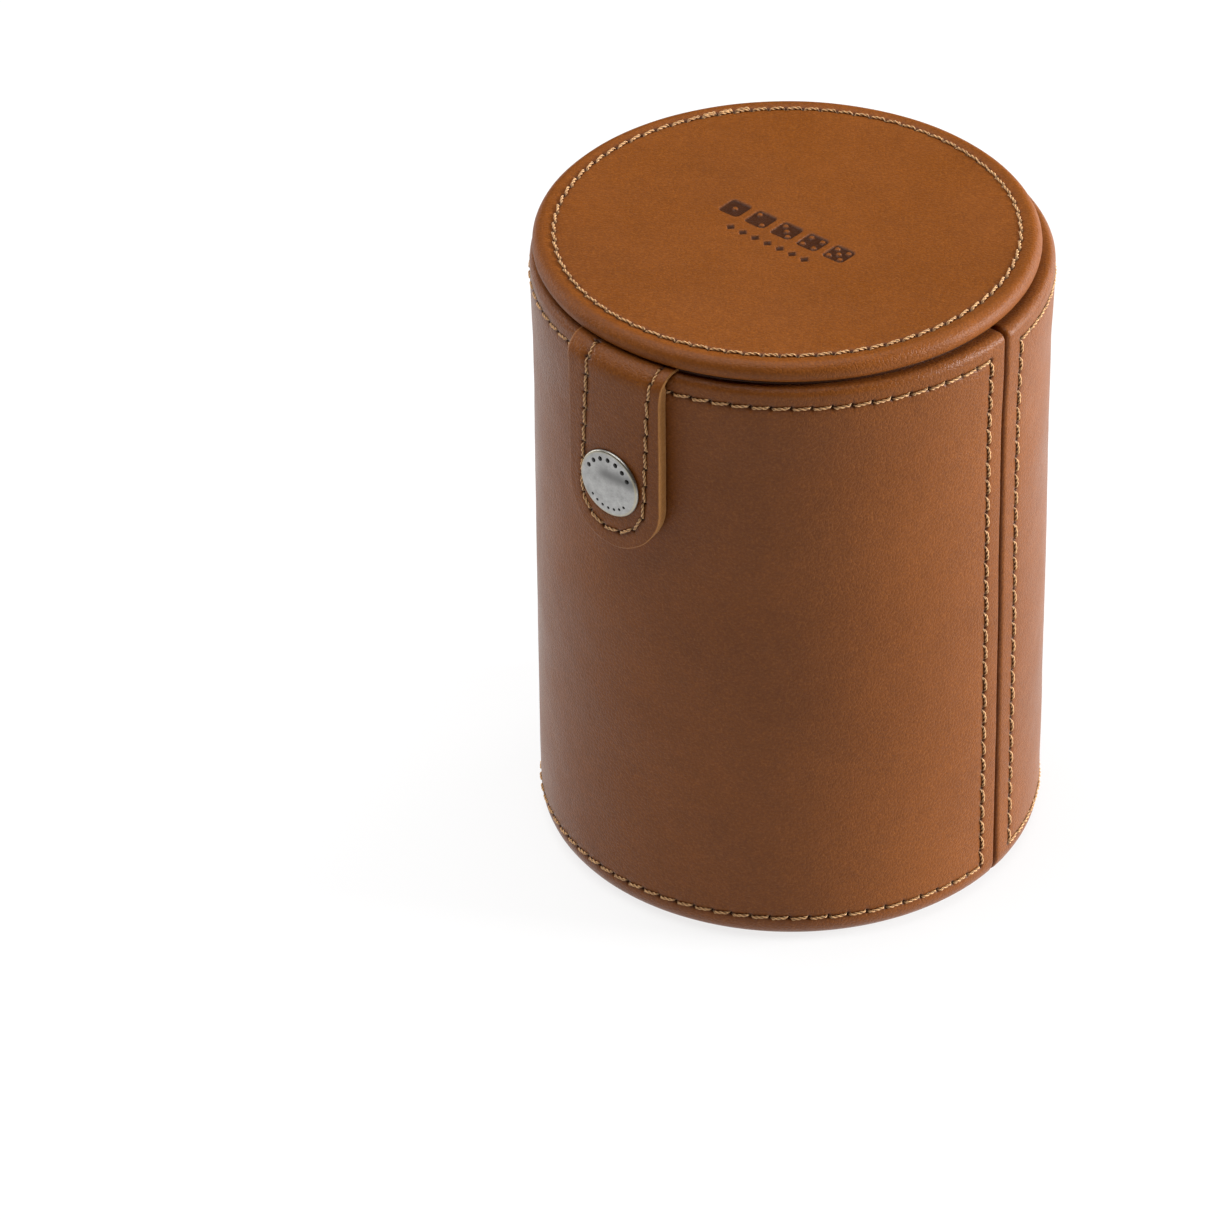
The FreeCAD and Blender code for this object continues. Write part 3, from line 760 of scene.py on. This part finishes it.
# Millimetres from the stitch line where the lid has a ring of points.
BESIDE_RING = (-1.3, -0.9, -0.6, -0.32, -0.15, 0, 0.15, 0.32, 0.6, 0.9, 1.25)
MARK_HALF = (15.5 * MM, 6.5 * MM)
MARK_CENTRE = (0.5 * MM, -2.3 * MM)
# The mark's patch has as many points round its border as the stitched ring has columns.
MARK_COLUMNS, MARK_ROWS = 240, 92
MARK_DEPTH = 0.30 * MM
MARK_BLUR = 0.24 * MM
DIE = 4.3 * MM
DIE_STEP = 5.7 * MM
DIE_ROUND = 0.8 * MM
DICE_Y = 1.6 * MM
PIP_R = 0.46 * MM
PIP_STEP = 1.2 * MM
MIDDLE_PIP, DIAGONAL = [(0, 0)], [(-1, 1), (1, -1)]
CORNERS = DIAGONAL + [(1, 1), (-1, -1)]
PIPS = (MIDDLE_PIP, DIAGONAL, DIAGONAL + MIDDLE_PIP, CORNERS, CORNERS + MIDDLE_PIP)
DIAMOND_HALF = 0.62 * MM
DIAMOND_STEP = 2.7 * MM
DIAMONDS_Y = -3.5 * MM


def mark_depth(x, y):
    """How deep the lid's pressed mark is, from 0 to 1: five die faces over a row of diamonds."""
    nearest = np.full(x.shape, 1.0)
    for k, pips in enumerate(PIPS, start=-2):
        die_x, die_y = x - k * DIE_STEP, y - DICE_Y
        qx = np.abs(die_x) - DIE / 2 + DIE_ROUND
        qy = np.abs(die_y) - DIE / 2 + DIE_ROUND
        square = np.hypot(np.maximum(qx, 0), np.maximum(qy, 0)) + np.minimum(np.maximum(qx, qy), 0)
        square -= DIE_ROUND
        for px, py in pips:
            pip = np.hypot(die_x - px * PIP_STEP, die_y - py * PIP_STEP) - PIP_R
            square = np.maximum(square, -pip)
        nearest = np.minimum(nearest, square)
    for k in range(-3, 4):
        diamond = (np.abs(x - k * DIAMOND_STEP) + np.abs(y - DIAMONDS_Y)) / sqrt(2) - DIAMOND_HALF
        nearest = np.minimum(nearest, diamond)
    return smooth(0.5 - nearest / MARK_BLUR)


def mark_patch():
    """A fine flat grid for the lid's mark, its border in order round it, and the mark's depth."""
    us = np.linspace(-MARK_HALF[0], MARK_HALF[0], MARK_COLUMNS + 1)
    vs = np.linspace(-MARK_HALF[1], MARK_HALF[1], MARK_ROWS + 1)
    u, v = np.meshgrid(us, vs)
    patch = np.stack([u + MARK_CENTRE[0], v + MARK_CENTRE[1], 0 * u], -1).reshape(-1, 3)
    index = np.arange(u.size).reshape(u.shape)
    middle = MARK_ROWS // 2
    border = np.concatenate([index[middle:, -1], index[-1, -2::-1], index[-2::-1, 0],
                             index[0, 1:], index[1:middle, -1]])
    return patch, border, mark_depth(u, v).ravel()


def lid_directions():
    """Directions from the lid's middle, one for each column of points, set by the stitches."""
    places = [d for d in sorted(hole_columns(LID_STITCHES, LID_PITCH))
              if -0.01 * MM < d < LID_LINE - 0.01 * MM]
    angle = np.array(places) / LID_STITCH_R
    return np.stack([np.cos(angle), np.sin(angle)], -1)


def lid_outline():
    """Radius and depth under the top, from the stitches out over the roll and in underneath."""
    roll = arc_points((LID_ROLL_R, LID_TOP - LID_ROLL), LID_ROLL, 88, -90, 20)
    outline = [(LID_STITCH_R + d * MM, 0.0) for d in BESIDE_RING]
    outline += [(r, z - LID_TOP) for r, z in roll]
    return outline + [(r, LID_UNDERSIDE - LID_TOP) for r in (38 * MM, 35 * MM)]


def press_lid(shape):
    """Give the lid's flat skin its crown, dents and unevenness, and move it into place. Returns the
    shade painted at each point, in the stitch holes and the groove."""
    radius = np.hypot(shape[:, 0], shape[:, 1])
    around = np.mod(np.arctan2(shape[:, 1], shape[:, 0]), 2 * pi) * LID_STITCH_R
    top = smooth((shape[:, 2] + 0.6 * MM) / (0.6 * MM))
    dent, dark = sewing_dent(LID_STITCH_R - radius, around, LID_LINE, LID_PITCH)
    crown = 0.15 * MM * np.minimum(radius / LID_STITCH_R, 1) ** 2
    crown *= smooth((LID_ROLL_R - radius) / (1.2 * MM))
    shape[:, 2] -= (dent + crown) * top
    shape[:, 2] += ripple(shape, 22 * MM, 31) * 0.035 * MM * top
    outward = shape[:, :2] / np.maximum(radius, 1e-6)[:, None]
    shape[:, :2] += outward * (ripple(shape, 15 * MM, 33) * 0.04 * MM * (1 - top))[:, None]
    shape += (0, LID_Y, LID_TOP - 0.03 * MM)
    return dark * top


def make_lid_leather():
    """The lid's top leather as one skin: a fine patch for the mark, then rings out over the roll."""
    patch, border, depth = mark_patch()
    directions = lid_directions()
    columns = len(directions)
    join = LID_STITCH_R - 1.8 * MM
    rings = []
    for part in smooth(np.linspace(0, 1, 26))[1:]:
        flat = patch[border, :2] * (1 - part) + directions * join * part
        rings.append(np.column_stack([flat, np.zeros(columns)]))
    for radius, z in lid_outline():
        rings.append(np.column_stack([directions * radius, np.full(columns, z)]))
    shape = np.concatenate([patch] + rings)
    pressed_and_shade = press_lid(shape)
    first = len(patch)
    shape[:first, 2] -= depth * MARK_DEPTH
    pressed_and_shade[:first] = np.maximum(pressed_and_shade[:first], depth)

    faces = grid_faces(MARK_ROWS + 1, MARK_COLUMNS + 1)
    for c in range(columns):
        following = (c + 1) % columns
        faces.append((border[c], first + c, first + following, border[following]))
    ring_faces = grid_faces(len(rings), columns, wrap_columns=True, start=first)
    faces += [face[::-1] for face in ring_faces]
    last = first + (len(rings) - 1) * columns
    faces.append([last + c for c in range(columns)][::-1])
    piece = mesh_piece("lid_top_leather", shape, faces, {"pressed_and_shade": pressed_and_shade})
    finish_piece(piece, "lid", lid_leather, ["lid_top_leather"])


def make_lid_thread():
    """The ring of stitches. Where the thread was locked off, a second stitch lies over the first."""
    up = (0, 0, 1)
    level = LID_TOP - 0.27 * MM
    stitches = []
    for k in range(LID_STITCHES):
        angles = [n * 2 * pi / LID_STITCHES for n in (k, k + 1)]
        ends = [(LID_STITCH_R * cos(a), LID_STITCH_R * sin(a) + LID_Y, level) for a in angles]
        stitches.append((*ends, up, 0.0))
        if k in LOCKED_STITCHES:
            over = [(x * 1.006, y * 1.006, z + 0.16 * MM) for x, y, z in ends]
            stitches.append((*over, up, 0.0))
    sewing = sewn_thread("lid_thread", stitches, 77)
    finish_piece(sewing, "lid", thread, ["lid_thread"])


def make_lid_underside():
    """The thinner leather under the roll, and the suede disc that drops into the mouth."""
    radius = (under_high.x - under_low.x) / 2
    # The under leather's rim is painted dark: the shade line beneath the lid's roll.
    make_turned("lid_under_leather",
                rounded_disc(radius, under_low.z + 0.02 * MM, under_high.z, 0.25 * MM),
                "lid", "leather", leather, columns=240, centre_y=LID_Y, wave=0.03 * MM, seed=12,
                dark_beyond=radius - 0.8 * MM)
    low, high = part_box("lid_lining")
    make_turned("lid_lining", rounded_disc((high.x - low.x) / 2, low.z, high.z, 0.35 * MM),
                "lid", "suede", suede, columns=200, centre_y=LID_Y, wave=0.05 * MM, seed=14)


# ---- straps ----

STRAP_PITCH = 3.5 * MM
STRAP_EDGE = 0.28 * MM
CAP_PRESS_R = 6.2 * MM
CAP_PRESS = 0.12 * MM
SOCKET_R = 4.0 * MM
SOCKET_DEEP = 1.2 * MM


@dataclass
class Strap:
    """A round-ended strap from under the lid, over the rim and down the wall, with a U of stitches.
    A place on it is a distance q along its stitch line and a distance d in from its edge."""

    name: str
    thread_name: str
    nodes: list
    bodies: tuple
    blend_ends: tuple
    direction: int  # -1 on the tab's side, 1 on the hinge's
    root_r: float  # where it starts, under the lid
    bend_r: float
    bend_z: float
    outer_r: float
    tip_z: float
    thickness: float
    width: float
    inset: float  # from its edge to the stitches
    sewn_from: float  # where the stitches start, in parts of the bend
    seed: int
    thin_top: float = 0.0  # how much thinner it is where it enters the lid
    flare: float = 0.0  # how much wider it is there, as a share
    off_centre: float = 0.0  # how far its middle line lies to the right
    cap_along: float = 0.0  # where the snap's cap sits along it, if it has one

    def __post_init__(self):
        self.half = self.width / 2
        self.outer_arc = self.outer_r - self.bend_r
        self.flat_length = self.bend_r - self.root_r
        bend = self.outer_arc * pi / 2
        self.bend_end = self.flat_length + bend
        self.straight = self.bend_end + self.bend_z - self.tip_z - self.half
        self.line = 2 * self.straight + pi * (self.half - self.inset)
        self.start = self.flat_length + bend * self.sewn_from
        self.sewn = self.line - 2 * self.start
        self.count = round(self.sewn / STRAP_PITCH)
        self.pitch = self.sewn / self.count

    def place(self, q, d):
        """Across and along the strap, for a distance along the stitch line and in from the edge."""
        q, d = np.broadcast_arrays(q, d)
        out = self.half - d
        turned = np.clip((q - self.straight) / (self.half - self.inset), 0, pi)
        before, after = q < self.straight, q > self.line - self.straight
        across = np.where(before, -out, np.where(after, out, -out * np.cos(turned)))
        round_end = self.straight + out * np.sin(turned)
        length = np.where(before, q, np.where(after, self.line - q, round_end))
        share = across / self.half
        fade = np.clip(1 - (length - self.bend_end) / (26 * MM), 0, 1)
        return across + self.off_centre * fade * (1 - share ** 2) * (1 - 0.4 * share), length

    def wrap(self, across, length, depth):
        """A place on the strap laid flat, and a depth under its face, as a place round the cup."""
        along_arc = np.clip((length - self.flat_length) / self.outer_arc, 0, pi / 2)
        reach = np.where(length < self.flat_length, self.root_r + length, self.bend_r)
        surface = reach + self.outer_arc * np.sin(along_arc)
        radius = reach + (self.outer_arc - depth) * np.sin(along_arc)
        down_wall = np.maximum(length - self.bend_end, 0)
        z = self.bend_z + (self.outer_arc - depth) * np.cos(along_arc) - down_wall
        widen = 1 + self.flare * smooth((self.bend_end + 3 * MM - length) / (7 * MM))
        angle = across * widen / surface
        return np.stack([radius * np.sin(angle), self.direction * radius * np.cos(angle), z], -1)

    def at(self, q, d, depth):
        """The same for a place q, d on the strap."""
        return self.wrap(*self.place(q, d), depth)

    def uneven(self, across, length, size, seed):
        return ripple(np.stack([across, length, 0 * across], -1), size, seed)

    def near_cap(self, across, length, radius, reach):
        """1 under the snap's cap and 0 away from it."""
        if not self.cap_along:
            return 0.0
        from_cap = np.hypot(across, length - self.cap_along)
        return 1 - smooth((from_cap - radius) / reach)

    def thick(self, length):
        top = smooth((self.bend_end - 0.2 * MM - length) / (3.0 * MM))
        return self.thickness - self.thin_top * top

    def columns(self):
        """Distances along the stitch line where the strap has points."""
        unsewn = np.linspace(0, self.start - 1.2 * MM, 12)
        holes = [self.start + d for d in hole_columns(self.count, self.pitch)]
        return np.array(sorted({*unsewn, *holes, *(self.line - unsewn)}))

    def face_rows(self, q):
        """The strap's face, from its middle line out: (in from the edge, depth, dark, cut) a row."""
        outer = np.array([0.28, 0.55, 1.1, 1.9]) * MM
        line = self.inset + np.array([-1.0, -0.6, -0.32, -0.15, 0, 0.15, 0.32, 0.6, 1.0]) * MM
        inner = np.linspace(self.inset + 1.6 * MM, self.half, 6)
        rows = []
        for d in np.concatenate([outer[outer < self.inset - 1.2 * MM], line, inner])[::-1]:
            across, length = self.place(q, d)
            inward = (d - self.inset) * -self.direction + 0 * q
            depth, dark = sewing_dent(inward, q - self.start, self.sewn, self.pitch)
            depth = depth + CAP_PRESS * self.near_cap(across, length, CAP_PRESS_R, 1.6 * MM)
            depth += (1 + self.uneven(across, length, 9 * MM, self.seed)) * 0.02 * MM
            rows.append((d, depth, dark, 0.0))
        return rows

    def edge_rows(self, q):
        """The cut edge, rounded at both sides and worn a little, with a line between its layers."""
        across, length = self.place(q, 0.0)
        worn = self.uneven(across, length, 8 * MM, self.seed + 5) * 0.06 * MM
        deep = self.thick(length)
        turn = np.radians(np.linspace(0, 90, 4))
        corner = list(zip(STRAP_EDGE * (1 - np.sin(turn)), STRAP_EDGE * (1 - np.cos(turn))))
        rows = [(d + worn, h, 0.0, min(1.0, 2 * h / STRAP_EDGE)) for d, h in corner[1:]]
        for part in np.linspace(0, 1, 7)[1:]:
            layer_line = 0.07 * MM * exp(-((part - 0.5) / 0.1) ** 2)
            rows.append((worn + layer_line, STRAP_EDGE + (deep - 2 * STRAP_EDGE) * part, 0.0, 1.0))
        return rows + [(d + worn, deep - h, 0.0, 1.0) for d, h in corner[-2::-1]]

    def back_rows(self, q):
        """The strap's back, from the edge to its middle line, hollow behind the snap's cap."""
        rows = []
        for d in [1.2 * MM, 2.4 * MM, *np.linspace(self.inset + 0.6 * MM, self.half, 9)]:
            across, length = self.place(q, d)
            hollow = SOCKET_DEEP * self.near_cap(across, length, SOCKET_R, 0.8 * MM)
            rows.append((d, self.thick(length) - hollow, 0.0, 0.0))
        return rows

    def stitches(self):
        sewn = []
        for k in range(self.count):
            ends = [self.start + (k + n) * self.pitch for n in (0, 1)]
            middle = sum(ends) / 2
            outward = self.at(middle, self.inset, 0.0) - self.at(middle, self.inset, 1.0 * MM)
            outward /= np.linalg.norm(outward)
            sewn.append((*[self.at(q, self.inset, 0.10 * MM) for q in ends], outward, 0.0))
        return sewn

    def finish(self, piece, slot, material, nodes):
        piece.data.materials.append(material)
        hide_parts(*nodes)
        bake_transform(piece)


def weld(piece):
    """Join points that meet, and close any open end."""
    built = bmesh.new()
    built.from_mesh(piece.data)
    bmesh.ops.remove_doubles(built, verts=built.verts, dist=0.004 * MM)
    open_edges = [edge for edge in built.edges if edge.is_boundary]
    if open_edges:
        bmesh.ops.holes_fill(built, edges=open_edges, sides=0)
    bmesh.ops.recalc_face_normals(built, faces=built.faces)
    built.to_mesh(piece.data)
    built.free()
    piece.data.polygons.foreach_set("use_smooth", [True] * len(piece.data.polygons))


def make_strap(strap):
    """The strap's leather and its thread."""
    q = strap.columns()
    rows = strap.face_rows(q) + strap.edge_rows(q) + strap.back_rows(q)
    points = np.array([strap.at(q, d, depth) for d, depth, _, _ in rows])
    pressed_and_shade = np.array([dark + 0 * q for _, _, dark, _ in rows])
    cut = np.array([amount + 0 * q for _, _, _, amount in rows])
    faces = grid_faces(len(rows), len(q))
    if strap.direction > 0:
        faces = [face[::-1] for face in faces]
    piece = mesh_piece(strap.name, points.reshape(-1, 3), faces, {"pressed_and_shade": pressed_and_shade, "cut": cut})
    weld(piece)
    strap.finish(piece, "leather", leather, strap.nodes)
    sewing = sewn_thread(strap.thread_name, strap.stitches(), strap.seed + 1)
    strap.finish(sewing, "thread", thread, [strap.thread_name])


def make_straps():
    """The closing tab at the front and the hinge strap at the back."""
    outer = -tab_low.y
    bend_z = tab_bend_low.z
    bend_r = outer - (tab_bend_high.z - bend_z)
    root_r = 37 * MM
    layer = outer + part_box("tab_lining")[0].y
    make_strap(Strap(
        name="closing_tab", thread_name="tab_thread", nodes=["tab_bend", "tab_leather", "tab_lining"],
        bodies=("lid", "tab"), blend_ends=((0, -0.0440, 0.1150), (0, -0.0470, 0.1100)),
        direction=-1, root_r=root_r, bend_r=bend_r, bend_z=bend_z, outer_r=outer, tip_z=tab_low.z,
        thickness=2 * layer, width=tab_high.x - tab_low.x, inset=3.1 * MM, sewn_from=0.1, seed=51,
        thin_top=2 * layer - (under_high.z - under_low.z), flare=0.05, off_centre=2.6 * MM,
        cap_along=bend_r - root_r + (outer - bend_r) * pi / 2 + bend_z - cap_middle.z))
    outer = strap_high.y
    bend_z = strap_bend_low.z
    make_strap(Strap(
        name="hinge_strap", thread_name="hinge_thread", nodes=["hinge_bend", "hinge_strap"],
        bodies=("cup", "lid"), blend_ends=((0, 0.0458, 0.1122), (0, 0.0425, 0.1158)),
        direction=1, root_r=34.5 * MM, bend_r=outer - (strap_bend_high.z - bend_z), bend_z=bend_z,
        outer_r=outer, tip_z=strap_low.z, thickness=outer - CUP_R - 0.05 * MM,
        width=strap_high.x - strap_low.x, inset=3.2 * MM, sewn_from=1.15, seed=61))


# ---- the snap fastener ----

CAP_R = (cap_high.x - cap_low.x) / 2
CAP_FACE = -cap_low.y
CAP_CURL = 0.42 * MM
CAP_EDGE = arc_points((CAP_R - CAP_CURL, CAP_FACE - 0.36 * MM - CAP_CURL), CAP_CURL, -20, 78, 9)
CAP_RIM_R, CAP_RIM_Z = CAP_EDGE[-1]
CAP_PIPS_R = 4.75 * MM
PIP_SIDES = 16


def cap_dome(radius):
    """How far out the cap's face stands, at a distance from its middle."""
    return CAP_RIM_Z + (CAP_FACE - CAP_RIM_Z) * (1 - (radius / CAP_RIM_R) ** 2)


def make_snap_cap():
    """The domed cap and its hollow post. It is turned upright first and then tipped to the front."""
    back = -tab_low.y - 0.2 * MM
    post_inner, post_outer, post_end = 2.5 * MM, 3.0 * MM, -cap_high.y
    profile = [(0.0, back + 0.3 * MM), (post_inner, back + 0.3 * MM), (post_inner, post_end),
               (post_outer, post_end), (post_outer, back), (CAP_R - 0.5 * MM, back)]
    profile += CAP_EDGE + [(r, cap_dome(r)) for r in np.linspace(CAP_RIM_R, 0, 24)[1:-1]]
    cap = lathe("snap_cap", profile + [(0.0, CAP_FACE)], columns=128)
    x, y, z = np.array([vertex.co for vertex in cap.data.vertices]).T
    on_face = smooth((z - CAP_RIM_Z + 0.3 * MM) / (0.3 * MM))
    # A painted dark reflection: a band across the upper face, stronger towards the right.
    dark_reflection_band = np.exp(-((y - 2.0 * MM) / (1.2 * MM)) ** 2) * smooth((x + 4 * MM) / (4 * MM))
    store(cap.data, "painted_reflection", dark_reflection_band * on_face)
    edge = np.hypot(x, y) - CAP_RIM_R - 0.1 * MM
    store(cap.data, "worn", np.exp(-(edge / (0.15 * MM)) ** 2))
    turn = Matrix.Translation(Vector((0, 0, cap_middle.z))) @ Matrix.Rotation(radians(90), 4, "X")
    cap.data.transform(turn)
    finish_piece(cap, "tab", nickel, ["snap_cap"])


def make_cap_pips():
    """Two arcs of dark pips on the cap, in place of any lettering."""
    pips = [(angle, 0.44 * MM) for angle in np.linspace(-62, 62, 7)]
    pips += [(angle, 0.28 * MM) for angle in np.linspace(180 - 46, 180 + 46, 7)]
    vertices, faces = [], []
    for angle, size in pips:
        cx, cz = CAP_PIPS_R * sin(radians(angle)), CAP_PIPS_R * cos(radians(angle))
        first = len(vertices)
        for k in range(PIP_SIDES):
            turn = 2 * pi * k / PIP_SIDES
            x, z = cx + size * sin(turn), cz + size * cos(turn)
            vertices.append((x, -(cap_dome(hypot(x, z)) + 0.006 * MM), cap_middle.z + z))
        vertices += [(x, y + 0.3 * MM, z) for x, y, z in vertices[first:]]
        faces.append([first + k for k in range(PIP_SIDES)][::-1])
        faces.append([first + PIP_SIDES + k for k in range(PIP_SIDES)])
        faces += grid_faces(2, PIP_SIDES, wrap_columns=True, start=first)
    dots = mesh_piece("snap_cap_pips", vertices, faces, {"pressed_and_shade": np.ones(len(vertices))})
    finish_piece(dots, "tab", nickel)


def dress_hidden_nodes():
    """The CAD's own pieces that keep their shape get their finish."""
    finishes = {"core_tube": board, "base_board": board, "lid_board": board, "snap_stud": nickel,
                "stud_rivet": nickel, "snap_socket": nickel, "socket_spring": brass}
    for node, material in finishes.items():
        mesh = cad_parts[node].data
        mesh.materials.clear()
        mesh.materials.append(material)


# ---- the whole scene ----

make_camera()
make_floor()
make_lights()
make_wall_panel(WallPanel("front_panel", span=FRONT_SPAN, middle=0, seam_inset=4.1 * MM,
                          seam_round=0.32 * MM, seed=21))
make_wall_panel(WallPanel("rear_panel", span=360 - FRONT_SPAN, middle=180, seam_inset=4.5 * MM,
                          seam_round=0.8 * MM, seed=41))
make_linings()
make_lid_leather()
make_lid_thread()
make_lid_underside()
make_straps()
make_snap_cap()
make_cap_pips()
dress_hidden_nodes()
